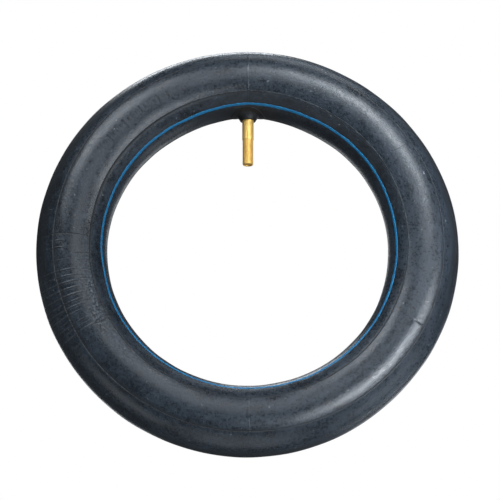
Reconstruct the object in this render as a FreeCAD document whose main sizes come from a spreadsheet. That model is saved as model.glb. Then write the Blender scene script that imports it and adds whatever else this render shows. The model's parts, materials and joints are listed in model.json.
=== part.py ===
import FreeCAD, Part
import math
import os
import re
import Sketcher

# An inner tube for a small bicycle wheel, blown up, with a straight car-type valve.
# The origin is the centre of the ring, +Y is the wheel's axis and +Z is up, all in millimetres.
# The valve stands at the top of the ring and points straight down at the centre.
# On the valve, a depth is counted from the stem's open end, upwards into the tube.

SIZES = {
    # rubber ring
    "ring_radius": 125.0,  # wheel axis to the middle of the round section
    "section_radius": 25.0,
    "rubber_thickness": 0.8,
    "air_hole_radius": 2.0,
    # coloured line on the front side, at an angle round the section from its outermost point
    "stripe_angle": 146.0,
    "stripe_half_angle": 2.0,
    "stripe_proud": 0.1,
    "stripe_sink": 0.3,
    # rubber foot that joins the stem to the ring
    "boss_height": 2.0,  # ring's inner wall to the boss's end face
    "boss_radius": 5.8,
    "cove_radius": 2.6,
    "pad_radius": 12.5,
    "pad_thickness": 0.5,
    # brass stem, outside
    "stem_length": 33.5,  # open end to the boss's end face
    "mouth_rim_radius": 3.4,
    "tip_chamfer": 0.6,
    "cap_thread_radius": 3.875,
    "cap_thread_depth": 19.0,
    "stem_step": 0.3,
    "stem_radius": 4.15,
    "waist_radius": 3.9,  # inside the rubber, between the boss's face and the flange
    "flange_radius": 5.2,
    "flange_depth": 34.4,
    "flange_thickness": 0.8,
    # brass stem, inside
    "mouth_radius": 2.9,
    "mouth_chamfer": 0.5,
    "core_thread_radius": 2.65,
    "core_thread_depth": 7.3,
    "chamber_radius": 2.2,
    "chamber_depth": 7.6,
    "seat_top_depth": 9.8,
    "seat_end_depth": 11.3,
    "bore_radius": 1.75,
    # threaded plug of the valve core
    "plug_radius": 2.58,
    "plug_chamfer": 0.25,
    "bridge_depth": 0.8,
    "bridge_radius": 2.1,
    "bridge_half_width": 1.15,
    "plug_thread_depth": 1.6,
    "plug_bore_radius": 0.8,
    "socket_depth": 3.5,
    "socket_radius": 1.97,
    "lip_depth": 4.3,
    "lip_radius": 1.48,
    "plug_end_depth": 5.4,
    # barrel that hangs in the plug
    "barrel_head_depth": 3.6,
    "barrel_head_radius": 1.9,
    "neck_depth": 4.2,
    "neck_radius": 1.4,
    "barrel_body_depth": 5.7,
    "barrel_body_radius": 1.85,
    "gasket_depth": 8.5,
    "barrel_tube_radius": 1.3,
    "gasket_end_depth": 11.1,
    "barrel_lip_radius": 1.5,
    "barrel_lip_depth": 11.5,
    "barrel_end_depth": 14.5,
    "barrel_bore_radius": 1.05,
    "spring_floor_depth": 13.0,
    "pin_guide_radius": 0.6,
    # tapered gasket round the barrel
    "gasket_radius": 2.05,
    "gasket_taper_depth": 10.1,
    "gasket_end_radius": 1.75,
    # pin, its collar and its spring
    "pin_top_depth": 0.4,
    "pin_radius": 0.45,
    "pin_chamfer": 0.12,
    "pin_head_depth": 16.1,
    "pin_head_radius": 0.7,
    "pin_end_depth": 16.5,
    "collar_depth": 6.2,
    "collar_radius": 0.97,
    "spring_top_depth": 6.8,
    "spring_radius": 0.8,
    "spring_wire_radius": 0.11,
    "spring_turns": 8.0,
    # cup and its gasket under the barrel
    "seal_top_depth": 14.55,
    "cup_depth": 14.75,
    "cup_radius": 1.45,
    "cup_recess_radius": 1.2,
    "cup_floor_depth": 15.35,
}

# Height of the stem's open end above the wheel's axis, and of the boss's end face.
TIP_HEIGHT = "ring_radius - section_radius - boss_height - stem_length"
BOSS_FACE_HEIGHT = "ring_radius - section_radius - boss_height"


def bound(formula):
    """Turn the plain names in a formula into references to the cells of the sheet."""
    return re.sub(r"\b[a-z_]+\b(?!\()", r"sizes.\g<0>", formula)


def fill_sheet(document):
    """One row for each driving dimension: its name, its value, and the alias that formulas use."""
    sheet = document.addObject("Spreadsheet::Sheet", "sizes")
    for row, (name, value) in enumerate(SIZES.items(), start=1):
        sheet.set(f"A{row}", name)
        sheet.set(f"B{row}", str(value))
        sheet.setAlias(f"B{row}", name)
    document.recompute()


def primitive(document, kind, name, height="0", **formulas):
    """A Part primitive whose sizes follow the sheet, raised to a height on the valve's axis."""
    solid = document.addObject(f"Part::{kind}", name)
    for size, formula in formulas.items():
        solid.setExpression(size, bound(formula))
    solid.setExpression("Placement.Base.z", bound(height))
    return solid


def combine(document, kind, name, base, tool):
    """A boolean of two objects: Cut, Fuse or Common."""
    result = document.addObject(f"Part::{kind}", name)
    result.Base = base
    result.Tool = tool
    return result


def new_body(document, name, height="0"):
    body = document.addObject("PartDesign::Body", name)
    body.setExpression("Placement.Base.z", bound(height))
    return body


def new_sketch(body, name, plane):
    """A sketch on one of the body's own origin planes."""
    sketch = body.newObject("Sketcher::SketchObject", name)
    for feature in body.Origin.OriginFeatures:
        if feature.Role == plane:
            sketch.AttachmentSupport = [(feature, "")]
    sketch.MapMode = "FlatFace"
    return sketch


def hold_point(sketch, edge, end, across, up):
    """Hold one point of an edge at a place given by two formulas; a plain 0 puts it on the axis."""
    for kind, axis, formula in (("DistanceX", -2, across), ("DistanceY", -1, up)):
        if formula == "0":
            sketch.addConstraint(Sketcher.Constraint("PointOnObject", edge, end, axis))
            continue
        number = sketch.addConstraint(Sketcher.Constraint(kind, -1, 1, edge, end, 1.0))
        sketch.setExpression(f"Constraints[{number}]", bound(formula))


def draw_outline(sketch, corners):
    """A closed outline of straight lines through corners given as pairs of formulas."""
    first = sketch.GeometryCount
    count = len(corners)
    for index in range(count):
        start = 2.0 * math.pi * index / count
        finish = 2.0 * math.pi * (index + 1) / count
        line = Part.LineSegment(
            FreeCAD.Vector(3.0 + math.cos(start), 3.0 + math.sin(start), 0.0),
            FreeCAD.Vector(3.0 + math.cos(finish), 3.0 + math.sin(finish), 0.0),
        )
        sketch.addGeometry(line, False)
    for index, (across, up) in enumerate(corners):
        following = (index + 1) % count
        sketch.addConstraint(Sketcher.Constraint("Coincident", first + index, 2, first + following, 1))
        hold_point(sketch, first + index, 1, across, up)


def draw_circle(sketch, across, up, radius):
    circle = Part.Circle(FreeCAD.Vector(3.0, 3.0, 0.0), FreeCAD.Vector(0, 0, 1), 1.0)
    edge = sketch.addGeometry(circle, False)
    hold_point(sketch, edge, 3, across, up)
    number = sketch.addConstraint(Sketcher.Constraint("Radius", edge, 1.0))
    sketch.setExpression(f"Constraints[{number}]", bound(radius))


def revolve(body, sketch, name):
    """A full turn of a sketch about its own upright axis."""
    turn = body.newObject("PartDesign::Revolution", name)
    turn.Profile = sketch
    turn.ReferenceAxis = (sketch, ["V_Axis"])
    turn.Angle = 360.0
    body.Tip = turn
    return turn


def turned(document, name, corners):
    """A piece of the valve turned about the stem's axis, from corners as (radius, depth)."""
    body = new_body(document, name, TIP_HEIGHT)
    sketch = new_sketch(body, f"{name}_outline", "XZ_Plane")
    draw_outline(sketch, corners)
    revolve(body, sketch, f"{name}_turned")
    return body


def cut_upwards(body, sketch, name, length):
    """Cut a sketch's outline upwards through the body, and make sure that it removed something."""
    body.Document.recompute()
    before = body.Shape.Volume
    pocket = body.newObject("PartDesign::Pocket", name)
    pocket.Profile = sketch
    pocket.Reversed = True
    pocket.setExpression("Length", bound(length))
    body.Tip = pocket
    body.Document.recompute()
    if body.Shape.Volume > before - 0.1:
        raise RuntimeError(f"{name} removed nothing")


def solid_ring(document, name, section_radius):
    """A solid ring about the wheel's axis with a round section."""
    ring = primitive(document, "Torus", name, Radius1="ring_radius", Radius2=section_radius)
    ring.setExpression("Placement.Rotation.Angle", "90")
    ring.Placement.Rotation = FreeCAD.Rotation(FreeCAD.Vector(1, 0, 0), 90.0)
    return ring


def make_colour_stripe(document):
    """A coloured strip of rubber let into the front of the ring, close to its inner edge."""
    top = "(section_radius + stripe_proud)"
    bottom = "(section_radius - stripe_sink)"
    near = "(stripe_angle - stripe_half_angle)"
    far = "(stripe_angle + stripe_half_angle)"
    corners = [
        (f"ring_radius + {reach} * cos({angle})", f"-{reach} * sin({angle})")
        for reach, angle in ((top, near), (top, far), (bottom, far), (bottom, near))
    ]
    strip = new_body(document, "colour_stripe")
    sketch = new_sketch(strip, "stripe_section", "XY_Plane")
    draw_outline(sketch, corners)
    revolve(strip, sketch, "stripe_turned")
    return strip


def make_rubber_tube(document, stripe):
    """The hollow ring, with the hole in its inner wall for the valve's air and the stripe's groove."""
    shell = new_body(document, "tube_shell")
    section = new_sketch(shell, "tube_section", "XY_Plane")
    draw_circle(section, "ring_radius", "0", "section_radius")
    draw_circle(section, "ring_radius", "0", "section_radius - rubber_thickness")
    revolve(shell, section, "tube_ring")
    hole = new_sketch(shell, "air_hole_outline", "XY_Plane")
    draw_circle(hole, "0", "0", "air_hole_radius")
    cut_upwards(shell, hole, "air_hole", "ring_radius")
    return combine(document, "Cut", "rubber_tube", shell, stripe)


def make_valve_stem(document):
    """The brass stem: cap thread, plain foot and buried flange, bored for the core."""
    flange_end = "flange_depth + flange_thickness"
    return turned(document, "valve_stem", [
        ("mouth_rim_radius", "0"),
        ("cap_thread_radius", "tip_chamfer"),
        ("cap_thread_radius", "cap_thread_depth"),
        ("stem_radius", "cap_thread_depth + stem_step"),
        ("stem_radius", "stem_length"),
        ("waist_radius", "stem_length"),
        ("waist_radius", "flange_depth"),
        ("flange_radius", "flange_depth"),
        ("flange_radius", flange_end),
        ("bore_radius", flange_end),
        ("bore_radius", "seat_end_depth"),
        ("chamber_radius", "seat_top_depth"),
        ("chamber_radius", "chamber_depth"),
        ("core_thread_radius", "core_thread_depth"),
        ("core_thread_radius", "mouth_chamfer"),
        ("mouth_radius", "0"),
    ])


def make_valve_base(document, envelope, stem):
    """The rubber foot: a boss with a hollow flare and a thin pad that follows the ring."""
    block = primitive(
        document, "Cylinder", "boss_block", BOSS_FACE_HEIGHT,
        Radius="boss_radius + cove_radius", Height="section_radius / 2",
    )
    cove = primitive(
        document, "Torus", "boss_cove", BOSS_FACE_HEIGHT,
        Radius1="boss_radius + cove_radius", Radius2="cove_radius",
    )
    boss = combine(document, "Cut", "boss", block, cove)
    skin = solid_ring(document, "pad_skin", "section_radius + pad_thickness")
    punch = primitive(document, "Cylinder", "pad_punch", Radius="pad_radius", Height="ring_radius")
    pad = combine(document, "Common", "pad", skin, punch)
    rubber = combine(document, "Fuse", "base_rubber", boss, pad)
    outside = combine(document, "Cut", "base_outside", rubber, envelope)
    around_stem = combine(document, "Cut", "base_around_stem", outside, stem)
    passage = primitive(
        document, "Cylinder", "air_passage", TIP_HEIGHT,
        Radius="air_hole_radius", Height="ring_radius / 2",
    )
    return combine(document, "Cut", "valve_base", around_stem, passage)


def make_core_plug(document):
    """The threaded plug, with two flats that a core key grips and a socket for the barrel."""
    body = turned(document, "core_plug", [
        ("plug_bore_radius", "bridge_depth"),
        ("bridge_radius", "bridge_depth"),
        ("bridge_radius", "plug_thread_depth"),
        ("plug_radius - plug_chamfer", "plug_thread_depth"),
        ("plug_radius", "plug_thread_depth + plug_chamfer"),
        ("plug_radius", "plug_end_depth - plug_chamfer"),
        ("plug_radius - plug_chamfer", "plug_end_depth"),
        ("lip_radius", "plug_end_depth"),
        ("lip_radius", "lip_depth"),
        ("socket_radius", "lip_depth"),
        ("socket_radius", "socket_depth"),
        ("plug_bore_radius", "socket_depth"),
    ])
    flats = new_sketch(body, "flats_outline", "XY_Plane")
    for side in ("", "-"):
        draw_outline(flats, [
            (f"{side}bridge_half_width", "-plug_radius"),
            (f"{side}plug_radius", "-plug_radius"),
            (f"{side}plug_radius", "plug_radius"),
            (f"{side}bridge_half_width", "plug_radius"),
        ])
    cut_upwards(body, flats, "plug_flats", "plug_thread_depth")
    return body


def make_core_barrel(document):
    """The barrel: a head held in the plug, a groove for the gasket and a bore for the spring."""
    return turned(document, "core_barrel", [
        ("barrel_bore_radius", "barrel_head_depth"),
        ("barrel_head_radius", "barrel_head_depth"),
        ("barrel_head_radius", "neck_depth"),
        ("neck_radius", "neck_depth"),
        ("neck_radius", "barrel_body_depth"),
        ("barrel_body_radius", "barrel_body_depth"),
        ("barrel_body_radius", "gasket_depth"),
        ("barrel_tube_radius", "gasket_depth"),
        ("barrel_tube_radius", "gasket_end_depth"),
        ("barrel_lip_radius", "gasket_end_depth"),
        ("barrel_lip_radius", "barrel_lip_depth"),
        ("barrel_tube_radius", "barrel_lip_depth"),
        ("barrel_tube_radius", "barrel_end_depth"),
        ("pin_guide_radius", "barrel_end_depth"),
        ("pin_guide_radius", "spring_floor_depth"),
        ("barrel_bore_radius", "spring_floor_depth"),
    ])


def make_barrel_gasket(document):
    """The tapered ring that closes the gap between the barrel and the stem's seat."""
    return turned(document, "barrel_gasket", [
        ("barrel_tube_radius", "gasket_depth"),
        ("gasket_radius", "gasket_depth"),
        ("gasket_radius", "gasket_taper_depth"),
        ("gasket_end_radius", "gasket_end_depth"),
        ("barrel_tube_radius", "gasket_end_depth"),
    ])


def make_core_pin(document):
    """The pin that a pump pushes, headed over under the cup."""
    return turned(document, "core_pin", [
        ("0", "pin_top_depth"),
        ("pin_radius - pin_chamfer", "pin_top_depth"),
        ("pin_radius", "pin_top_depth + pin_chamfer"),
        ("pin_radius", "pin_head_depth"),
        ("pin_head_radius", "pin_head_depth"),
        ("pin_head_radius", "pin_end_depth - pin_chamfer"),
        ("pin_head_radius - pin_chamfer", "pin_end_depth"),
        ("0", "pin_end_depth"),
    ])


def make_spring_collar(document):
    """The collar on the pin that the spring pushes against."""
    return turned(document, "spring_collar", [
        ("pin_radius", "collar_depth"),
        ("collar_radius", "collar_depth"),
        ("collar_radius", "spring_top_depth"),
        ("pin_radius", "spring_top_depth"),
    ])


def make_pin_spring(document):
    """The coil spring between the pin's collar and the floor of the barrel."""
    free_length = "(spring_floor_depth - spring_top_depth - 2 * spring_wire_radius)"
    helix = document.addObject("Part::Helix", "spring_helix")
    helix.setExpression("Radius", bound("spring_radius"))
    helix.setExpression("Pitch", bound(f"{free_length} / spring_turns"))
    helix.setExpression("Height", bound(free_length))
    wire = document.addObject("Part::Circle", "spring_wire")
    wire.setExpression("Radius", bound("spring_wire_radius"))
    wire.Placement.Rotation = FreeCAD.Rotation(FreeCAD.Vector(1, 0, 0), 90.0)
    wire.setExpression("Placement.Base.x", bound("spring_radius"))
    spring = document.addObject("Part::Sweep", "pin_spring")
    spring.Sections = [wire]
    document.recompute()
    spring.Spine = (helix, [f"Edge{edge + 1}" for edge in range(len(helix.Shape.Edges))])
    spring.Solid = True
    spring.Frenet = True
    spring.setExpression("Placement.Base.z", bound(f"{TIP_HEIGHT} + spring_top_depth + spring_wire_radius"))
    return spring


def make_seal_cup(document):
    """The brass cup on the pin, open towards the barrel."""
    return turned(document, "seal_cup", [
        ("pin_radius", "cup_floor_depth"),
        ("cup_recess_radius", "cup_floor_depth"),
        ("cup_recess_radius", "cup_depth"),
        ("cup_radius", "cup_depth"),
        ("cup_radius", "pin_head_depth"),
        ("pin_radius", "pin_head_depth"),
    ])


def make_cup_gasket(document):
    """The rubber ring in the cup that closes the barrel's end."""
    return turned(document, "cup_gasket", [
        ("pin_radius", "seal_top_depth"),
        ("cup_recess_radius", "seal_top_depth"),
        ("cup_recess_radius", "cup_floor_depth"),
        ("pin_radius", "cup_floor_depth"),
    ])


def check_document(document, pieces):
    """Stop if any feature failed, or if a piece isn't one valid solid."""
    for feature in document.Objects:
        if "Invalid" in feature.State or "Error" in feature.State:
            raise RuntimeError(f"{feature.Name} is {feature.State}")
    for piece in pieces:
        if piece.Shape.isNull() or not piece.Shape.isValid():
            raise RuntimeError(f"{piece.Label} has no valid shape")
        if len(piece.Shape.Solids) != 1:
            raise RuntimeError(f"{piece.Label} has {len(piece.Shape.Solids)} solids")


def main():
    document = FreeCAD.newDocument("inner_tube")
    fill_sheet(document)
    envelope = solid_ring(document, "tube_envelope", "section_radius")
    stripe = make_colour_stripe(document)
    stem = make_valve_stem(document)
    pieces = [
        make_rubber_tube(document, stripe),
        stripe,
        stem,
        make_valve_base(document, envelope, stem),
        make_core_plug(document),
        make_core_barrel(document),
        make_barrel_gasket(document),
        make_core_pin(document),
        make_spring_collar(document),
        make_pin_spring(document),
        make_seal_cup(document),
        make_cup_gasket(document),
    ]
    document.recompute()
    check_document(document, pieces)
    os.makedirs("parts", exist_ok=True)
    for piece in pieces:
        piece.Shape.exportStep(f"parts/{piece.Label}.step")
        box = piece.Shape.BoundBox
        print(
            f"{piece.Label}: {piece.Shape.Volume:.2f} mm3, "
            f"x {box.XMin:.2f} {box.XMax:.2f}, y {box.YMin:.2f} {box.YMax:.2f}, z {box.ZMin:.2f} {box.ZMax:.2f}"
        )


main()
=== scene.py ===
import json
import math

import bpy
import numpy as np
from mathutils import Matrix, Vector


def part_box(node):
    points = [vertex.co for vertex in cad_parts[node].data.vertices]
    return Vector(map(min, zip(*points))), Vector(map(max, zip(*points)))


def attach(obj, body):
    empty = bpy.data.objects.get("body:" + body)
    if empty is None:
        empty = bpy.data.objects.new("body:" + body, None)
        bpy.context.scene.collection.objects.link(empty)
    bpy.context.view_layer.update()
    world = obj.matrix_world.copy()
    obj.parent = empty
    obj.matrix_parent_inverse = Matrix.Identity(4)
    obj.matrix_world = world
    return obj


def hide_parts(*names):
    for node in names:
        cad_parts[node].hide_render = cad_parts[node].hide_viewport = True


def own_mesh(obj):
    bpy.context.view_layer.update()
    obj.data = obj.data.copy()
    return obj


# An inner tube, blown up and standing on its edge, with its valve at the top.
# The ring is described by two angles in degrees. "around" goes round the wheel's axis from +X
# towards +Z, so the valve is at 90. "across" goes round the section from its outermost point
# towards the front (-Y), so 90 is the crown of the front side and 180 is the wall at the rim.

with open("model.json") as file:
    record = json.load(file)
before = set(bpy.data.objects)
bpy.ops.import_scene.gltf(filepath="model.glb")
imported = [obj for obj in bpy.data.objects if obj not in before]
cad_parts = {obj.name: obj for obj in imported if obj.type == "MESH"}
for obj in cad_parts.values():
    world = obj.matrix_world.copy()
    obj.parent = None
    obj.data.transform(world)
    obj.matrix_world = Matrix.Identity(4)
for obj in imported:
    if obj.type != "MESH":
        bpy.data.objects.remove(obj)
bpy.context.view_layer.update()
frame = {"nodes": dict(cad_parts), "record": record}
RECORD = frame["record"]
MOUNTS = {mount["name"]: mount for mount in RECORD["mounts"]}
MM = 0.001
INCH = 25.4  # in millimetres

THICKNESS, HEIGHT = RECORD["size"]["bbox_m"][1:]
SECTION = THICKNESS / 2  # radius of the round section
RING = HEIGHT / 2 - SECTION  # wheel's axis to the middle of the section
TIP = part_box("valve_stem")[0].z  # the stem's open end
BOSS_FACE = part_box("valve_base")[0].z  # the end face of the rubber foot
CAP_THREAD, CORE_THREAD = INCH / 32.0, INCH / 36.0  # pitches of the stem's two threads
VALVE = 90.0  # where the valve is, round the ring
STRIPE = 146.0  # where the blue line is, across the section
CREASED = (178.6, 213.4)  # the stretch of the ring with wrinkles
LINE_GROOVE = 0.62  # from a mould line's crest to the groove beside it, in millimetres
CREASE_GROOVE = 0.9  # from a long wrinkle's crest to the groove beside it, in millimetres
LENGTHWISE = 0.34  # marks in the rubber are about three times as long round the ring as across


# ---------------------------------------------------------------- shapes of curves

def hill(distance, width):
    """A smooth hill, 1 at distance 0 and 0 from width outwards."""
    share = np.clip(np.abs(distance) / width, 0.0, 1.0)
    return 0.5 + 0.5 * np.cos(np.pi * share)


def ridge(distance, width):
    """A narrow round ridge, 1 at distance 0."""
    return np.exp(-((distance / width) ** 2))


def plateau(value, low, high, edge):
    """1 between low and high, falling smoothly to 0 over edge on each side."""
    rise = np.clip((value - low) / edge + 0.5, 0.0, 1.0)
    fall = np.clip((high - value) / edge + 0.5, 0.0, 1.0)
    share = rise * fall
    return share * share * (3.0 - 2.0 * share)


def angle_from(around, centre):
    """Signed angle from centre, the short way round."""
    return (around - centre + 180.0) % 360.0 - 180.0


def between(angle, start, end, blend):
    """1 between two angles and 0 elsewhere, blended, also where that stretch passes 0 or 180."""
    half = (end - start) / 2
    return plateau(angle_from(angle, start + half), -half, half, blend)


# ---------------------------------------------------------------- the rubber's surface

def uneven(around, across):
    """Slow swells of the blown-up rubber, in millimetres."""
    a = np.radians(around)
    b = np.radians(across)
    lift = 0.14 * np.sin(3 * a + np.sin(b) + 0.7)
    lift += 0.10 * np.sin(5 * a + 2 * b + 1.9)
    lift += 0.07 * np.sin(11 * a - 3 * b + 0.4)
    lift += 0.04 * np.sin(23 * a + 4 * b + 2.2)
    lift += 0.03 * np.sin(31 * a - 6 * b + 5.0)
    return lift


def swelling(around, across):
    """The ring is a little fatter on the left and thinner at the upper and lower right."""
    outer = 0.5 + 0.5 * np.cos(np.radians(across))
    fat = 1.2 * hill(angle_from(around, 167.0), 62.0)
    thin = 0.8 * hill(angle_from(around, 55.0), 45.0) + 0.8 * hill(angle_from(around, 315.0), 45.0)
    return (fat - thin) * outer


# Each mould line: its mean angle across, and how far it wanders with the cosine and the sine of
# around, in degrees.
MOULD_LINES = (
    (58.8, -2.0, -0.8),
    (118.8, -1.5, 1.0),
    (-60.0, -1.0, 0.5),
    (-119.5, 1.0, -0.5),
)


def line_place(line, around):
    """Where a mould line runs: its angle across at each angle around."""
    middle, with_cosine, with_sine = line
    turn = np.radians(around)
    slow = with_cosine * np.cos(turn) + with_sine * np.sin(turn)
    return middle + slow + 0.25 * np.sin(9 * turn + middle)


def past_line(around, across, line):
    """How far across a point lies past a mould line, in millimetres."""
    return SECTION / MM * np.radians(across - line_place(line, around))


def mould_ridges(around, across):
    """Fine raised lines where the parts of the mould met, each with a fine groove beside it,
    nearer the hole. The two lines nearer the hole are fainter."""
    lift = np.zeros(np.broadcast(around, across).shape)
    for line in MOULD_LINES:
        off = past_line(around, across, line)
        strength = 0.85 + 0.15 * np.sin(np.radians(13 * around + line[0]))
        if abs(line[0]) > 90.0:
            strength = 0.55 * strength
        lift += 0.10 * strength * ridge(off, 0.28)
        lift -= 0.13 * strength * ridge(off - math.copysign(LINE_GROOVE, line[0]), 0.30)
    return lift


# Each seam: where it is, where it starts and ends across, and its height in millimetres. A groove's
# height is negative.
SEAMS = (
    (90.0, 12.0, 140.0, 0.10),
    (270.3, 58.0, 144.0, 0.12),
    (177.6, 22.0, 122.0, -0.14),
    (333.5, 60.0, 77.0, -0.30),
    (33.0, 58.0, 92.0, 0.10),
)


def seams(around, across):
    """Fine lines that run across the ring, where the mould was vented or joined."""
    lift = np.zeros(np.broadcast(around, across).shape)
    for place, start, end, height in SEAMS:
        wander = 0.12 * np.sin(np.radians(6 * across + 3 * place))
        off = RING / MM * np.radians(angle_from(around, place + wander))
        lift += height * ridge(off, 0.36) * plateau(across, start, end, 6.0)
    return lift


# The long wrinkles: place around, the angles across where each starts and ends, and its strength.
LONG_CREASES = (
    (179.8, 50, 76, 0.45), (182.0, 46, 80, 0.6), (186.1, 52, 84, 0.3), (189.4, 30, 96, 0.55),
    (191.4, 22, 94, 0.7), (193.4, 12, 112, 0.9), (195.5, 12, 104, 0.85), (197.6, 4, 122, 1.0),
    (199.7, 6, 98, 0.8), (201.4, 4, 90, 1.0), (203.3, 12, 84, 0.75), (204.9, 30, 80, 0.5),
    (206.3, 22, 88, 0.75), (207.7, 40, 92, 0.6), (209.2, 14, 118, 0.85), (212.3, 24, 70, 0.3),
)


def make_short_creases():
    """The short wrinkles near the rim, drawn once from a fixed seed: place around, start and end
    across, strength and slant."""
    draw = np.random.default_rng(11)
    found = []
    place = 184.0
    while place < 211.0:
        start, end = draw.uniform(93, 112), draw.uniform(120, 146)
        strength, slant = draw.uniform(0.3, 1.0), draw.uniform(-0.4, 0.4)
        found.append((place, start, end, strength, slant))
        place += draw.uniform(0.8, 1.9)
    return found


SHORT_CREASES = make_short_creases()


def past_crease(around, across, place):
    """How far round the ring a point lies past a long wrinkle, in millimetres; each slants a bit."""
    slant = 0.2 * np.sin(3.0 * place)
    return RING / MM * np.radians(around - place - slant * (across - 60.0) / 60.0)


def creases(around, across):
    """Wrinkles across the left side: long raised ones, and short sunk ones near the rim."""
    lift = np.zeros(np.broadcast(around, across).shape)
    for place, start, end, strength in LONG_CREASES:
        off = past_crease(around, across, place)
        raised = 0.21 * ridge(off, 0.40) - 0.07 * ridge(off - CREASE_GROOVE, 0.45)
        lift += strength * raised * plateau(across, start, end, 24.0)
    return lift - 0.17 * short_creases(around, across)


def short_creases(around, across):
    """How far a point lies in one of the short wrinkles, 0 to 1."""
    depth = np.zeros(np.broadcast(around, across).shape)
    for place, start, end, strength, slant in SHORT_CREASES:
        off = RING / MM * np.radians(around - place - slant * (across - 120.0) / 30.0)
        depth = np.maximum(depth, strength * ridge(off, 0.36) * plateau(across, start, end, 10.0))
    return depth


def crackle(around, across):
    """A crushed patch beside the inner mould line, in the middle of the wrinkles."""
    patch = plateau(around, 186.0, 207.0, 8.0) * plateau(across, 98.0, 117.0, 9.0)
    u = RING / MM * np.radians(around)
    v = SECTION / MM * np.radians(across)
    rough = np.sin(2.9 * u + 1.7 * np.sin(1.3 * v)) * np.sin(2.6 * v + 1.4 * np.sin(1.1 * u))
    rough += 0.6 * np.sin(4.3 * u - 2.2 * v)
    return 0.012 * patch * rough


def valve_pull(around, across):
    """How far the valve draws the wall outwards, in millimetres: a shallow pointed arch."""
    depth, half_angle = 2.0, 26.0
    away = np.abs(angle_from(around, VALVE))
    arch = np.clip(1.0 - away / half_angle, 0.0, 1.0) ** 1.35
    inward = (0.5 - 0.5 * np.cos(np.radians(across))) ** 1.5
    return depth * arch * inward


def surface(around, across, lift=0.0):
    """Points of the rubber's surface, in metres; lift is a height above it in millimetres."""
    around = np.asarray(around, float)
    across = np.asarray(across, float)
    shapes = (uneven, swelling, mould_ridges, seams, creases, crackle)
    total = sum(shape(around, across) for shape in shapes) + lift
    reach = SECTION + total * MM
    distance = RING + reach * np.cos(np.radians(across)) + valve_pull(around, across) * MM
    x = distance * np.cos(np.radians(around))
    y = -reach * np.sin(np.radians(across))
    z = distance * np.sin(np.radians(around))
    return np.stack([x, y, z], axis=-1)


# ---------------------------------------------------------------- mesh helpers

def new_piece(name, vertices, faces, material, smooth=True):
    """A mesh object in the scene."""
    mesh = bpy.data.meshes.new(name)
    mesh.from_pydata(vertices, [], faces)
    mesh.polygons.foreach_set("use_smooth", [smooth] * len(mesh.polygons))
    mesh.materials.append(material)
    mesh.update()
    piece = bpy.data.objects.new(name, mesh)
    bpy.context.scene.collection.objects.link(piece)
    return piece


def grid_mesh(name, points, material, capped=False, flip=False):
    """A smooth closed mesh from a grid of points, rows by columns. The columns join up, and the
    rows either join up or have a cap at each end."""
    rows, columns = points.shape[:2]
    row = np.arange(rows - 1 if capped else rows)
    row, column = np.meshgrid(row, np.arange(columns), indexing="ij")
    next_row = (row + 1) % rows
    next_column = (column + 1) % columns
    corners = [row * columns + column, next_row * columns + column]
    corners += [next_row * columns + next_column, row * columns + next_column]
    if flip:
        corners.reverse()
    faces = np.stack(corners, axis=-1).reshape(-1, 4).tolist()
    if capped:
        faces.append(list(range(columns)))
        faces.append(list(range(rows * columns - 1, (rows - 1) * columns - 1, -1)))
    return new_piece(name, points.reshape(-1, 3).tolist(), faces, material)


def stepped(low, high, step):
    """Values from low up to but not including high, evenly spaced near step."""
    count = max(1, round((high - low) / step))
    return np.linspace(low, high, count, endpoint=False)


def lathe_mesh(name, outline, material, columns=72):
    """A turned piece on the valve's axis. The outline gives (radius, depth from the tip) in
    millimetres, and a radius may be a function of the angle round the axis."""
    turn = np.linspace(0.0, 2.0 * np.pi, columns, endpoint=False)
    points = np.empty((len(outline), columns, 3))
    for index, (radius, depth) in enumerate(outline):
        reach = radius(turn) if callable(radius) else np.full(columns, float(radius))
        points[index, :, 0] = reach * np.cos(turn) * MM
        points[index, :, 1] = reach * np.sin(turn) * MM
        points[index, :, 2] = TIP + depth * MM
    return grid_mesh(name, points, material, flip=True)


def thread(crest, depth_of_groove, pitch, start, end, rows_per_turn=8, hollow=False):
    """Outline rows of a helical thread between two depths, fading out at both ends. A hollow
    thread is half a pitch further on, so that the crests of a solid one lie in its grooves."""
    least, flank, flat = 0.15, 0.42, 0.86
    side, shift = (1.0, 0.5) if hollow else (-1.0, 0.0)
    rows = []
    for place in stepped(start, end, pitch / rows_per_turn):
        fade = min(1.0, (place - start) / pitch + least, (end - place) / pitch + least)

        def radius(turn, place=place, fade=fade):
            share = (place / pitch - turn / (2.0 * np.pi) + shift) % 1.0
            groove = np.clip(1.0 - np.abs(share - 0.5) / flank, 0.0, flat) / flat
            return crest + side * depth_of_groove * fade * groove

        rows.append((radius, place))
    return rows


# ---------------------------------------------------------------- materials

# The colour sockets of a Mix node, whose names it shares with its other kinds of socket.
FIRST_COLOUR, SECOND_COLOUR, MIXED_COLOUR = 6, 7, 2


def new_material(name):
    """A node material and its shader."""
    material = bpy.data.materials.new(name)
    material.use_nodes = True
    shader = material.node_tree.nodes["Principled BSDF"]
    return material, shader


def noise_texture(material, scale, detail, roughness, distortion=0.0):
    """A noise texture with nothing plugged into it yet."""
    texture = material.node_tree.nodes.new("ShaderNodeTexNoise")
    texture.inputs["Scale"].default_value = scale
    texture.inputs["Detail"].default_value = detail
    texture.inputs["Roughness"].default_value = roughness
    texture.inputs["Distortion"].default_value = distortion
    return texture


def noise(material, scale, detail=4.0, roughness=0.55):
    """Noise in the object's own metres."""
    place = material.node_tree.nodes.new("ShaderNodeTexCoord")
    texture = noise_texture(material, scale, detail, roughness)
    material.node_tree.links.new(place.outputs["Object"], texture.inputs["Vector"])
    return texture.outputs["Fac"]


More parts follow.
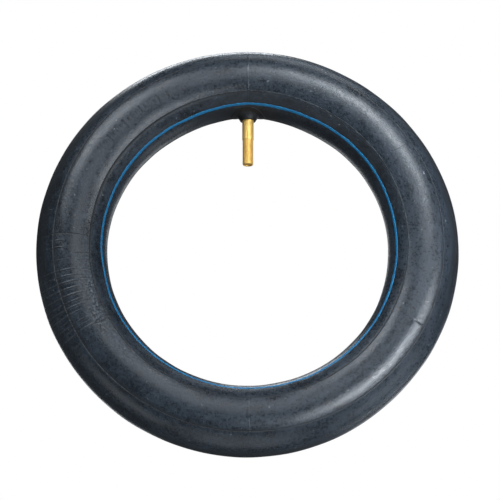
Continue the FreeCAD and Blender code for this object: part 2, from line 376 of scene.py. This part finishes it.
def ramp(material, value, stops):
    """A colour ramp; each stop is (position, grey or colour)."""
    node = material.node_tree.nodes.new("ShaderNodeValToRGB")
    elements = node.color_ramp.elements
    while len(elements) < len(stops):
        elements.new(0.5)
    for element, (position, colour) in zip(elements, stops):
        element.position = position
        if not isinstance(colour, tuple):
            colour = (colour, colour, colour)
        element.color = (*colour, 1.0)
    material.node_tree.links.new(value, node.inputs["Fac"])
    return node.outputs["Color"]


def math_node(material, operation, *values):
    """A sum on values, each a number or another node's output."""
    node = material.node_tree.nodes.new("ShaderNodeMath")
    node.operation = operation
    for socket, value in zip(node.inputs, values):
        if isinstance(value, (int, float)):
            socket.default_value = value
        else:
            material.node_tree.links.new(value, socket)
    return node.outputs["Value"]


def product(material, first, second):
    """first * second."""
    return math_node(material, "MULTIPLY", first, second)


def add_share(material, value, extra, weight):
    """value + weight * extra."""
    return math_node(material, "ADD", value, product(material, extra, weight))


def mix_colour(material, share, first, second):
    """A blend of two colours, each a fixed colour or another node's output."""
    node = material.node_tree.nodes.new("ShaderNodeMix")
    node.data_type = "RGBA"
    links = material.node_tree.links
    links.new(share, node.inputs["Factor"])
    for number, value in ((FIRST_COLOUR, first), (SECOND_COLOUR, second)):
        socket = node.inputs[number]
        if isinstance(value, tuple):
            socket.default_value = (*value, 1.0)
        else:
            links.new(value, socket)
    return node.outputs[MIXED_COLOUR]


def bump(material, shader, heights):
    """Chained bumps; each is (height, strength, distance in metres)."""
    normal = None
    links = material.node_tree.links
    for height, strength, distance in heights:
        node = material.node_tree.nodes.new("ShaderNodeBump")
        node.inputs["Strength"].default_value = strength
        node.inputs["Distance"].default_value = distance
        links.new(height, node.inputs["Height"])
        if normal:
            links.new(normal, node.inputs["Normal"])
        normal = node.outputs["Normal"]
    links.new(normal, shader.inputs["Normal"])


def attribute(material, name, output="Fac"):
    """A value stored at the mesh's points."""
    node = material.node_tree.nodes.new("ShaderNodeAttribute")
    node.attribute_name = name
    return node.outputs[output]


def ring_noise(material, scale, detail, roughness, distortion=0.0):
    """Noise that runs lengthwise round the ring."""
    links = material.node_tree.links
    texture = noise_texture(material, scale, detail, roughness, distortion)
    texture.noise_dimensions = "4D"
    links.new(attribute(material, "ring_place", "Vector"), texture.inputs["Vector"])
    links.new(attribute(material, "ring_side"), texture.inputs["W"])
    return texture.outputs["Fac"]


def finish_rubber(material, shader, clouds, streaks, swells, painted_shade_matte=None, talc_and_highlight=None):
    """Black butyl rubber: bluish, clouded and streaked with talc, speckled with dust, and duller and
    painted darker, as shade, in its grooves, creases and shaded patches. Gives the colour."""
    grain = ramp(material, noise(material, 520.0, 3.0, 0.75), ((0.34, 0.0), (0.66, 1.0)))
    blotches = ramp(material, noise(material, 190.0, 6.0, 0.78), ((0.26, 0.0), (0.67, 1.0)))
    haze = product(material, clouds, 0.40)
    haze = add_share(material, haze, streaks, 0.22)
    haze = add_share(material, haze, blotches, 0.38)
    haze = product(material, haze, math_node(material, "MULTIPLY_ADD", grain, 0.85, 0.58))
    colour = mix_colour(material, haze, (0.0030, 0.0039, 0.0050), (0.040, 0.053, 0.071))
    specks = ramp(material, noise(material, 380.0, 2.0, 0.5), ((0.725, 0.0), (0.755, 1.0)))
    colour = mix_colour(material, product(material, specks, 0.6), colour, (0.24, 0.26, 0.28))
    shine = product(material, blotches, 0.35)
    shine = add_share(material, shine, clouds, 0.20)
    shine = add_share(material, shine, grain, 0.45)
    shine = ramp(material, shine, ((0.22, 0.20), (0.78, 0.40)))
    if painted_shade_matte:
        shine = add_share(material, shine, painted_shade_matte, 0.5)
        shine = add_share(material, shine, talc_and_highlight, 0.9)
        # Painted shade: the colour is drawn towards near-black where the shade mask is set.
        painted_shade_share = product(material, painted_shade_matte, 0.85)
        colour = mix_colour(material, painted_shade_share, colour, (0.0022, 0.0026, 0.0032))
    material.node_tree.links.new(shine, shader.inputs["Roughness"])
    bump(material, shader, ((swells, 0.09, 0.0012), (grain, 0.12, 0.0003)))
    return colour


def make_tube_rubber():
    """The tube's rubber, with clouds and streaks round the ring, loose talc on it, a painted
    highlight along raised crests and painted shade in grooves and shaded patches.
    """
    material, shader = new_material("tube_rubber")
    clouds = ramp(material, ring_noise(material, 62.0, 5.0, 0.62, 0.35), ((0.34, 0.0), (0.68, 1.0)))
    streaks = ramp(material, ring_noise(material, 210.0, 4.0, 0.6, 0.2), ((0.36, 0.0), (0.66, 1.0)))
    swells = ring_noise(material, 95.0, 3.0, 0.5)
    painted_shade_matte, talc_and_highlight = attribute(material, "painted_shade_matte"), attribute(material, "talc_and_highlight")
    colour = finish_rubber(material, shader, clouds, streaks, swells, painted_shade_matte, talc_and_highlight)
    loose = ramp(material, noise(material, 620.0, 3.0, 0.65), ((0.42, 0.0), (0.60, 1.0)))
    # Loose talc lightens the rubber; along the crests of raised lines the same light colour is a
    # painted highlight.
    colour = mix_colour(material, product(material, talc_and_highlight, loose), colour, (0.20, 0.22, 0.24))
    material.node_tree.links.new(colour, shader.inputs["Base Color"])
    return material


def make_foot_rubber():
    """The foot: a plainer rubber with no talc on it, coloured blacker than the tube as painted shade
    of the dark valve area.
    """
    material, shader = new_material("foot_rubber")
    links = material.node_tree.links
    mottle = ramp(material, noise(material, 240.0, 5.0, 0.65), ((0.34, 0.0), (0.68, 1.0)))
    # Painted shade: both colours are kept near-black for the shaded valve area.
    colour = mix_colour(material, mottle, (0.0030, 0.0034, 0.0040), (0.0085, 0.0100, 0.0120))
    links.new(colour, shader.inputs["Base Color"])
    links.new(ramp(material, mottle, ((0.0, 0.48), (1.0, 0.62))), shader.inputs["Roughness"])
    bump(material, shader, ((mottle, 0.15, 0.0003),))
    return material


def make_mark_rubber():
    """The raised bars are the tube's own rubber, clouded like it."""
    material, shader = new_material("mark_rubber")
    clouds = ramp(material, noise(material, 120.0, 5.0, 0.62), ((0.34, 0.0), (0.68, 1.0)))
    colour = finish_rubber(material, shader, clouds, clouds, noise(material, 95.0, 3.0, 0.5))
    material.node_tree.links.new(colour, shader.inputs["Base Color"])
    return material


def make_stripe_paint():
    """Blue rubber paint, a little worn and dusty."""
    material, shader = new_material("stripe_paint")
    links = material.node_tree.links
    wear = ramp(material, noise(material, 420.0, 3.0, 0.6), ((0.35, 0.0), (0.72, 1.0)))
    colour = mix_colour(material, wear, (0.002, 0.135, 0.32), (0.007, 0.215, 0.44))
    links.new(colour, shader.inputs["Base Color"])
    shine = ramp(material, noise(material, 260.0), ((0.3, 0.55), (0.7, 0.72)))
    links.new(shine, shader.inputs["Roughness"])
    bump(material, shader, ((noise(material, 700.0, 3.0), 0.25, 0.0002),))
    return material


def make_metal(name, colour, dull, roughness, scale=500.0, metallic=1.0):
    """A turned metal with slight stains and fine tool marks."""
    material, shader = new_material(name)
    links = material.node_tree.links
    stains = ramp(material, noise(material, scale, 4.0, 0.6), ((0.35, 0.0), (0.75, 1.0)))
    links.new(mix_colour(material, stains, colour, dull), shader.inputs["Base Color"])
    shader.inputs["Metallic"].default_value = metallic
    low, high = roughness
    finish = ramp(material, noise(material, 1.7 * scale), ((0.3, low), (0.7, high)))
    links.new(finish, shader.inputs["Roughness"])
    bump(material, shader, ((noise(material, 4.0 * scale, 2.0), 0.15, 0.00008),))
    return material


def make_gasket_rubber():
    """Plain black rubber of the core's two seals."""
    material, shader = new_material("gasket_rubber")
    links = material.node_tree.links
    shades = ((0.3, (0.012, 0.011, 0.011)), (0.7, (0.03, 0.028, 0.028)))
    links.new(ramp(material, noise(material, 900.0), shades), shader.inputs["Base Color"])
    shine = ramp(material, noise(material, 1400.0), ((0.3, 0.5), (0.7, 0.68)))
    links.new(shine, shader.inputs["Roughness"])
    return material


RUBBER = make_tube_rubber()
FOOT_RUBBER = make_foot_rubber()
MARK_RUBBER = make_mark_rubber()
GASKET_RUBBER = make_gasket_rubber()
STRIPE_PAINT = make_stripe_paint()
STEM_BRASS = make_metal(
    "stem_brass", (1.0, 0.66, 0.20), (0.86, 0.52, 0.14), (0.34, 0.48), metallic=0.55
)
CORE_BRASS = make_metal("core_brass", (0.84, 0.60, 0.26), (0.70, 0.47, 0.18), (0.28, 0.42))
SPRING_STEEL = make_metal(
    "spring_steel", (0.62, 0.62, 0.64), (0.50, 0.50, 0.52), (0.18, 0.30), scale=900.0
)


# ---------------------------------------------------------------- pieces

def assign(piece, body, slot, *nodes):
    """A piece that rides on a body and stands for CAD nodes, whose parts it hides. The slot is not
    used.
    """
    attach(piece, body)
    if nodes:
        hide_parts(*nodes)


def columns_around():
    """Where the skin's mesh lines are round the ring: close together in the wrinkles and seams."""
    first, last = CREASED
    angles = [stepped(0.0, first, 1.2), stepped(first, last, 0.1), stepped(last, 360.0, 1.2)]
    for seam in SEAMS:
        angles.append(seam[0] + np.linspace(-0.64, 0.64, 9))
    return np.unique(np.round(np.concatenate(angles), 3))


def rows_across():
    """Where the skin's mesh lines are across the section: close together at the mould lines."""
    angles = [stepped(-180.0, 180.0, 4.5)]
    for line in MOULD_LINES:
        angles.append(line[0] + np.linspace(-4.4, 3.4, 17))
    return np.unique(np.round(np.concatenate(angles), 3))


# Mould lines painted lighter along their crests in the talc colour, a painted highlight where the
# ridge catches light: which line, where it starts and ends, and how much.
HIGHLIGHTED_LINES = (
    (MOULD_LINES[0], 150.0, 238.0, 0.34),
    (MOULD_LINES[1], -28.0, 112.0, 0.42),
)
# Worn streaks of talc: start, end and blend around, middle and width across, and how much.
TALC_STREAKS = (
    (194.0, 207.0, 5.0, 111.5, 3.0, 0.55),
    (204.0, 213.0, 3.0, 101.5, 2.4, 0.8),
)


def talc_and_highlight_amount(around, across):
    """Loose talc, a thin film and worn streaks at the wrinkles, and a painted highlight along the
    crests of raised lines, drawn in the same light colour.
    """
    total = 0.18 * plateau(around, 182.0, 230.0, 12.0) * plateau(across, 94.0, 122.0, 12.0)
    for start, end, blend, middle, width, amount in TALC_STREAKS:
        total += amount * plateau(around, start, end, blend) * ridge(across - middle, width)
    # Painted highlight: the crests of the long wrinkles, and of the mould lines below, are drawn
    # lighter in the talc colour.
    for place, start, end, strength in LONG_CREASES:
        crest = ridge(past_crease(around, across, place), 0.34)
        total += 0.20 * strength * crest * plateau(across, start, end, 24.0)
    for line, start, end, amount in HIGHLIGHTED_LINES:
        crest = ridge(past_line(around, across, line), 0.30)
        total += amount * crest * between(around, start, end, 20.0)
    return np.clip(total, 0.0, 1.0)


# Patches of painted shade, where the rubber is also duller: start, end and blend around, start and
# end across, and how dark. The first is on the inner wall round the valve.
SHADE_PATCHES = (
    (74.0, 106.0, 24.0, 152.0, 208.0, 0.85),
    (132.0, 190.0, 24.0, -44.0, 44.0, 0.75),
    (250.0, 292.0, 24.0, -30.0, 14.0, 0.6),
    (-16.0, 46.0, 26.0, -30.0, 40.0, 0.62),
    (20.0, 100.0, 34.0, 121.0, 151.0, 0.45),
)


def painted_shade_matte_amount(around, across):
    """Where the rubber is painted darker, as shade, and made duller: in patches that lie in shade,
    in the short sunk wrinkles and in fine grooves.
    """
    shade_amount = 0.8 * short_creases(around, across)
    for start, end, blend, low, high, amount in SHADE_PATCHES:
        patch = between(around, start, end, blend) * between(across, low, high, 14.0)
        shade_amount = np.maximum(shade_amount, amount * patch)
    for line in MOULD_LINES:
        off = past_line(around, across, line) - math.copysign(LINE_GROOVE, line[0])
        shade_amount = np.maximum(shade_amount, ridge(off, 0.42))
    for place, start, end, height in SEAMS:
        if height < 0:
            off = RING / MM * np.radians(angle_from(around, place))
            shade_amount = np.maximum(shade_amount, 0.8 * ridge(off, 0.45) * plateau(across, start, end, 6.0))
    for place, start, end, strength in LONG_CREASES:
        groove = ridge(past_crease(around, across, place) - CREASE_GROOVE, 0.45)
        shade_amount = np.maximum(shade_amount, 0.45 * strength * groove * plateau(across, start, end, 24.0))
    return shade_amount


def add_ring_places(piece, around, across):
    """Store the place on the ring at each point, for textures that run lengthwise round the ring.
    Two circles in four dimensions have no seam, and a small ring circle stretches the texture."""
    turn = np.radians(around).ravel()
    roll = np.radians(across).ravel()
    wide, narrow = LENGTHWISE * RING, SECTION
    circle = np.stack([wide * np.cos(turn), wide * np.sin(turn), narrow * np.cos(roll)], axis=-1)
    attributes = piece.data.attributes
    attributes.new("ring_place", "FLOAT_VECTOR", "POINT").data.foreach_set("vector", circle.ravel())
    attributes.new("ring_side", "FLOAT", "POINT").data.foreach_set("value", narrow * np.sin(roll))


def make_tube_skin():
    """The blown-up rubber ring with its mould lines, seams and wrinkles."""
    around, across = np.meshgrid(columns_around(), rows_across(), indexing="ij")
    skin = grid_mesh("tube_skin", surface(around, across), RUBBER)
    add_ring_places(skin, around, across)
    # Stored amounts: talc with painted highlight on crests, and painted shade with duller rubber.
    for name, amount in (("talc_and_highlight", talc_and_highlight_amount), ("painted_shade_matte", painted_shade_matte_amount)):
        layer = skin.data.attributes.new(name, "FLOAT", "POINT")
        layer.data.foreach_set("value", amount(around, across).ravel())
    assign(skin, "root", "butyl_rubber", "rubber_tube")


def make_stripe():
    """The blue line: hand-laid, so that it wanders and varies in width a little."""
    around = stepped(0.0, 360.0, 0.3)
    turn = np.radians(around)
    wander = -1.0 - 3.2 * np.cos(turn) + 0.25 * np.sin(7 * turn) + 0.12 * np.sin(29 * turn)
    # The line runs nearer the rim at the wrinkles, and steps back a little in the middle of them.
    jog = 4.2 * hill(angle_from(around, 193.0), 17.0) - 0.8 * plateau(around, 197.3, 203.0, 1.6)
    half = 2.6 + 0.18 * np.sin(11 * turn) + 0.16 * np.sin(47 * turn + 1.0)
    half += 0.22 * np.sin(131 * turn)
    top = ((-1.0, -0.15), (-0.92, 0.09), (-0.4, 0.15), (0.4, 0.15), (0.92, 0.09), (1.0, -0.15))
    underside = ((0.6, -0.3), (-0.6, -0.3))
    middle = STRIPE + wander + jog
    rows = [surface(around, middle + share * half, lift) for share, lift in top + underside]
    stripe = grid_mesh("stripe_line", np.stack(rows), STRIPE_PAINT, flip=True)
    assign(stripe, "root", "blue_line", "colour_stripe")


def make_mould_marks():
    """A row of plain raised bars near the front's crown, alternately long and short."""
    first, spacing, middle = 117.5, 1.74, 91.0
    long, short, half_width = 6.8, 3.4, 0.24
    lengths = (long, short) * 7 + (long,)
    section = ((-1.0, -0.25), (-1.0, 0.10), (-0.6, 0.24), (0.6, 0.24), (1.0, 0.10), (1.0, -0.25))
    stations = (-1.0, -0.93, -0.5, 0.0, 0.5, 0.93, 1.0)
    corners = len(section)
    vertices, faces = [], []
    for number, length in enumerate(lengths):
        start = len(vertices)
        for station in stations:
            height = 0.55 if abs(station) == 1.0 else 1.0
            for side, lift in section:
                around = first + number * spacing + side * half_width
                point = surface(around, middle + station * length, height * lift)
                vertices.append(point.tolist())
        for row in range(len(stations) - 1):
            for column in range(corners):
                here = start + row * corners + column
                beside = start + row * corners + (column + 1) % corners
                faces.append((here, beside, beside + corners, here + corners))
        faces.append(tuple(range(start + corners - 1, start - 1, -1)))
        faces.append(tuple(range(len(vertices) - corners, len(vertices))))
    marks = new_piece("mould_marks", vertices, faces, MARK_RUBBER, smooth=False)
    assign(marks, "root", "butyl_rubber")


def wall_height(x, y):
    """Height in metres of the ring's inner wall over a point near the valve's axis."""
    across = 180.0 - np.degrees(np.arcsin(np.clip(-y / SECTION, -1.0, 1.0)))
    around = 90.0 - np.degrees(np.arcsin(x / (RING - SECTION)))
    distance = RING - np.sqrt(SECTION**2 - y**2) + valve_pull(around, across) * MM
    distance -= uneven(around, across) * MM
    return np.sqrt(distance**2 - x**2)


def make_valve_foot():
    """The rubber foot: a flat-faced boss whose side sweeps out into a thin pad on the wall."""
    stem, lip, flare, pad = (value * MM for value in (4.15, 5.8, 9.2, 12.3))
    rounded, pad_height = 0.35 * MM, 0.35 * MM
    # Each ring: its radius, how far it is from the wall (0) to the boss's face (1), how far it is
    # back from that face, and how far it stands off the wall.
    rings = [
        (stem, 1.0, 0.0, pad_height),
        (lip - rounded, 1.0, 0.0, pad_height),
        (lip - 0.3 * rounded, 1.0, 0.1 * MM, pad_height),
        (lip, 1.0, rounded, pad_height),
    ]
    for share in np.linspace(0.06, 1.0, 16):
        radius = lip + share * (flare - lip)
        rings.append((radius, (1.0 - share) ** 2.3, rounded, pad_height))
    rings += [
        (pad - 0.8 * MM, 0.0, 0.0, pad_height),
        (pad - 0.2 * MM, 0.0, 0.0, 0.25 * MM),
        (pad, 0.0, 0.0, -0.3 * MM),
        (stem, 0.0, 0.0, -0.5 * MM),
    ]
    turn = np.linspace(0.0, 2.0 * np.pi, 96, endpoint=False)
    points = np.empty((len(rings), len(turn), 3))
    for index, (radius, boss, back, rise) in enumerate(rings):
        x = radius * np.cos(turn)
        y = radius * np.sin(turn)
        wall = wall_height(x, y) - rise
        points[index, :, 0] = x
        points[index, :, 1] = y
        points[index, :, 2] = wall + boss * (BOSS_FACE + back - wall)
    foot = grid_mesh("valve_foot", points, FOOT_RUBBER, flip=True)
    assign(foot, "root", "butyl_rubber", "valve_base")


def make_valve_stem():
    """The brass stem: a chamfered mouth, a threaded tip, a slightly wider foot and its bore."""
    tip = MOUNTS["pump_thread"]["dims"]["r_mm"]
    foot = MOUNTS["valve_rim_hole"]["dims"]["r_mm"]
    outline = [(3.3, 0.0), (3.45, 0.03), (tip - 0.2, 0.42), (tip - 0.05, 0.6)]
    outline += thread(tip, 0.30, CAP_THREAD, 0.7, 18.8, rows_per_turn=10)
    outline += [(tip, 18.85), (tip, 19.0), (foot, 19.3), (foot, 19.6)]
    outline += thread(foot, 0.14, CAP_THREAD, 19.8, 32.2)
    outline += [(foot, 32.4), (foot, 34.4), (5.2, 34.4), (5.2, 35.2)]
    outline += [(1.75, 35.2), (1.75, 11.3), (2.2, 9.8), (2.2, 7.6), (2.65, 7.3)]
    outline += reversed(thread(2.52, 0.13, CORE_THREAD, 0.9, 7.0, hollow=True))
    outline += [(2.65, 0.7), (2.65, 0.5), (2.9, 0.05), (3.0, 0.0)]
    stem = lathe_mesh("threaded_stem", outline, STEM_BRASS)
    assign(stem, "root", "stem_brass", "valve_stem")


def make_core_plug():
    """The core's plug: two flats for the key, a threaded skirt and the socket for the barrel."""
    half_flat, bridge_radius, edge = 1.15, 2.1, 0.08

    def bridge(turn):
        return np.minimum(bridge_radius, half_flat / np.maximum(np.abs(np.cos(turn)), 1e-6))

    def bridge_edge(turn):
        return bridge(turn) - edge

    outline = [(0.8, 0.86), (0.86, 0.8)]
    outline += [(bridge_edge, 0.8), (bridge, 0.88), (bridge, 1.6), (2.33, 1.6), (2.45, 1.68)]
    outline += thread(2.51, 0.14, CORE_THREAD, 1.85, 5.15)
    outline += [(2.45, 5.3), (2.33, 5.4), (1.48, 5.4)]
    outline += [(1.48, 4.3), (1.97, 4.3), (1.97, 3.5), (0.8, 3.5)]
    plug = lathe_mesh("threaded_plug", outline, CORE_BRASS)
    assign(plug, "core_plug", "core_brass", "core_plug")


def make_spring():
    """The coil spring, with closed end turns, built at the CAD spring's length."""
    low, high = (corner.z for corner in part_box("pin_spring"))
    wire, radius, turns = 0.11 * MM, 0.80 * MM, 9.5
    along = np.linspace(0.0, 1.0, 520)
    rise = np.interp(along, (0.0, 0.09, 0.91, 1.0), (0.0, 0.035, 0.965, 1.0))[:, None]
    turn = (2.0 * np.pi * turns * along)[:, None]
    round_wire = np.linspace(0.0, 2.0 * np.pi, 10, endpoint=False)[None, :]
    reach = radius + wire * np.cos(round_wire)
    height = low + wire + rise * (high - low - 2 * wire) + wire * np.sin(round_wire)
    points = np.stack([reach * np.cos(turn), reach * np.sin(turn), height], axis=-1)
    spring = grid_mesh("coil_spring", points, SPRING_STEEL, capped=True)
    assign(spring, "core_barrel", "spring_steel", "pin_spring")
    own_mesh(spring)


def finish_core():
    """Materials for the core's pieces that keep their CAD shape."""
    brass = ("core_barrel", "core_pin", "spring_collar", "seal_cup")
    seals = ("barrel_gasket", "cup_gasket")
    for names, material in ((brass, CORE_BRASS), (seals, GASKET_RUBBER)):
        for name in names:
            for slot in frame["nodes"][name].material_slots:
                slot.material = material


# ---------------------------------------------------------------- stage, light and camera

def make_floor():
    """A pale floor that glows, a painted light weakest near the ring and brighter far from it. It
    shows from above only, because the camera stands below its level."""
    half = 8.0
    low = -HEIGHT / 2 - 1.6 * MM  # just below the ring's swells
    material, shader = new_material("floor")
    nodes, links = material.node_tree.nodes, material.node_tree.links
    shader.inputs["Base Color"].default_value = (0.86, 0.86, 0.86, 1.0)
    shader.inputs["Roughness"].default_value = 0.9
    # Painted light: the floor glows, dimmer near the ring so that the shadow there shows, and
    # brighter further out.
    shader.inputs["Emission Color"].default_value = (0.90, 0.93, 0.96, 1.0)
    place = nodes.new("ShaderNodeTexCoord")
    away = nodes.new("ShaderNodeVectorMath")
    away.operation = "LENGTH"
    links.new(place.outputs["Object"], away.inputs[0])
    fade = nodes.new("ShaderNodeMapRange")
    for socket, value in (("From Min", 0.35), ("From Max", 1.0), ("To Min", 0.5), ("To Max", 1.1)):
        fade.inputs[socket].default_value = value
    links.new(away.outputs["Value"], fade.inputs["Value"])
    links.new(fade.outputs["Result"], shader.inputs["Emission Strength"])
    side = nodes.new("ShaderNodeNewGeometry")
    clear = nodes.new("ShaderNodeBsdfTransparent")
    mix = nodes.new("ShaderNodeMixShader")
    sources = (side.outputs["Backfacing"], shader.outputs[0], clear.outputs[0])
    for socket, source in zip(mix.inputs, sources):
        links.new(source, socket)
    links.new(mix.outputs[0], nodes["Material Output"].inputs["Surface"])
    corners = [(-half, -half, low), (half, -half, low), (half, half, low), (-half, half, low)]
    floor = new_piece("floor", corners, [(0, 1, 2, 3)], material, smooth=False)
    floor.visible_diffuse = False
    floor.visible_glossy = False
    floor.visible_shadow = False


def make_world():
    """White behind the object; as a light, the world is only a faint even glow."""
    world = bpy.data.worlds.new("studio")
    bpy.context.scene.world = world
    world.use_nodes = True
    nodes, links = world.node_tree.nodes, world.node_tree.links
    nodes.clear()
    seen = nodes.new("ShaderNodeLightPath")
    mix = nodes.new("ShaderNodeMixShader")
    links.new(seen.outputs["Is Camera Ray"], mix.inputs[0])
    glow, white = ((0.85, 0.93, 1.0), 0.10), ((1.0, 1.0, 1.0), 1.0)
    for socket, (colour, strength) in zip(mix.inputs[1:], (glow, white)):
        background = nodes.new("ShaderNodeBackground")
        background.inputs["Color"].default_value = (*colour, 1.0)
        background.inputs["Strength"].default_value = strength
        links.new(background.outputs[0], socket)
    output = nodes.new("ShaderNodeOutputWorld")
    links.new(mix.outputs[0], output.inputs["Surface"])


def toward(azimuth, elevation):
    """Unit vector to a light; azimuth 0 is the camera's side and 90 is +X, in degrees."""
    turn, rise = math.radians(azimuth), math.radians(elevation)
    level = math.cos(rise)
    return Vector((math.sin(turn) * level, -math.cos(turn) * level, math.sin(rise)))


# Each softbox stretches from one direction to another, at a distance, with a width and a power
# (metres and watts). The last two say where it is aimed, as x and z in metres, and its spread in
# degrees: grids on the two strips keep their light on the right side of the ring.
NEAR, FAR = 0.6, 1.6
CENTRE, OPEN = (0.0, 0.0), 180.0
LAMP_COLOUR = (0.885, 0.944, 1.0)
SOFTBOXES = (
    ("upper_right_strip", (45, 25), (20, 54), NEAR, 0.25, 0.45, (0.20, 0.15), 62.0),
    ("lower_right_strip", (29, -31), (49, -3), NEAR, 0.08, 0.30, (0.20, -0.12), 58.0),
    ("right_fill", (12, -30), (54, 8), FAR, 0.55, 14.5, CENTRE, OPEN),
    ("upper_left_softbox", (-30, 28), (-40, 52), FAR, 0.75, 10.4, CENTRE, OPEN),
    ("front_fill", (12, 8), (12, 48), FAR, 0.9, 6.8, CENTRE, OPEN),
    ("right_low", (88, -55), (88, -20), FAR, 0.6, 2.7, CENTRE, OPEN),
    ("right_rear", (126, -18), (140, -46), FAR, 0.5, 1.4, CENTRE, OPEN),
    ("floor_bounce", (0, -60), (180, -75), FAR, 1.2, 4.2, CENTRE, OPEN),
    ("left_low", (-75, -60), (-75, -25), FAR, 0.5, 1.8, CENTRE, OPEN),
    ("overhead", (108, 62), (-145, 80), FAR, 0.5, 2.4, CENTRE, OPEN),
    ("back_top", (172, 50), (-146, 47), FAR, 0.30, 4.4, CENTRE, OPEN),
    ("back_right", (158, -16), (158, 20), FAR, 0.45, 1.5, CENTRE, OPEN),
    ("back_left", (-163, -10), (-163, 22), FAR, 0.35, 1.2, CENTRE, OPEN),
)


def make_lights():
    """Softboxes that face the ring; none is seen by the camera."""
    for name, start, end, distance, width, power, aim, spread in SOFTBOXES:
        start, end = toward(*start), toward(*end)
        position = distance * (start + end).normalized()
        facing = (position - Vector((aim[0], 0.0, aim[1]))).normalized()
        across = (end - start).cross(facing).normalized()
        along = facing.cross(across)
        data = bpy.data.lights.new(name, "AREA")
        data.shape = "RECTANGLE"
        data.size = width
        data.size_y = distance * (end - start).length
        data.spread = math.radians(spread)
        data.energy = power
        data.color = LAMP_COLOUR
        light = bpy.data.objects.new(name, data)
        turned = Matrix((across, along, facing)).transposed().to_4x4()
        light.matrix_world = Matrix.Translation(position) @ turned
        light.visible_camera = False
        bpy.context.scene.collection.objects.link(light)


def make_camera():
    """The camera looks up at the ring from 17.1 degrees below the wheel's axis, 2 m away."""
    below = math.radians(17.1)
    distance = 2.0
    aim = Vector((1.5 * MM, 0.0, 0.6 * MM))
    data = bpy.data.cameras.new("camera")
    data.sensor_width = 36.0
    data.lens = 202.0
    camera = bpy.data.objects.new("camera", data)
    camera.location = aim + distance * Vector((0.0, -math.cos(below), -math.sin(below)))
    camera.rotation_euler = (math.pi / 2 + below, 0.0, 0.0)
    bpy.context.scene.collection.objects.link(camera)
    bpy.context.scene.camera = camera


make_tube_skin()
make_stripe()
make_mould_marks()
make_valve_foot()
make_valve_stem()
make_core_plug()
make_spring()
finish_core()
make_floor()
make_world()
make_lights()
make_camera()
bpy.context.scene.view_settings.view_transform = "Standard"
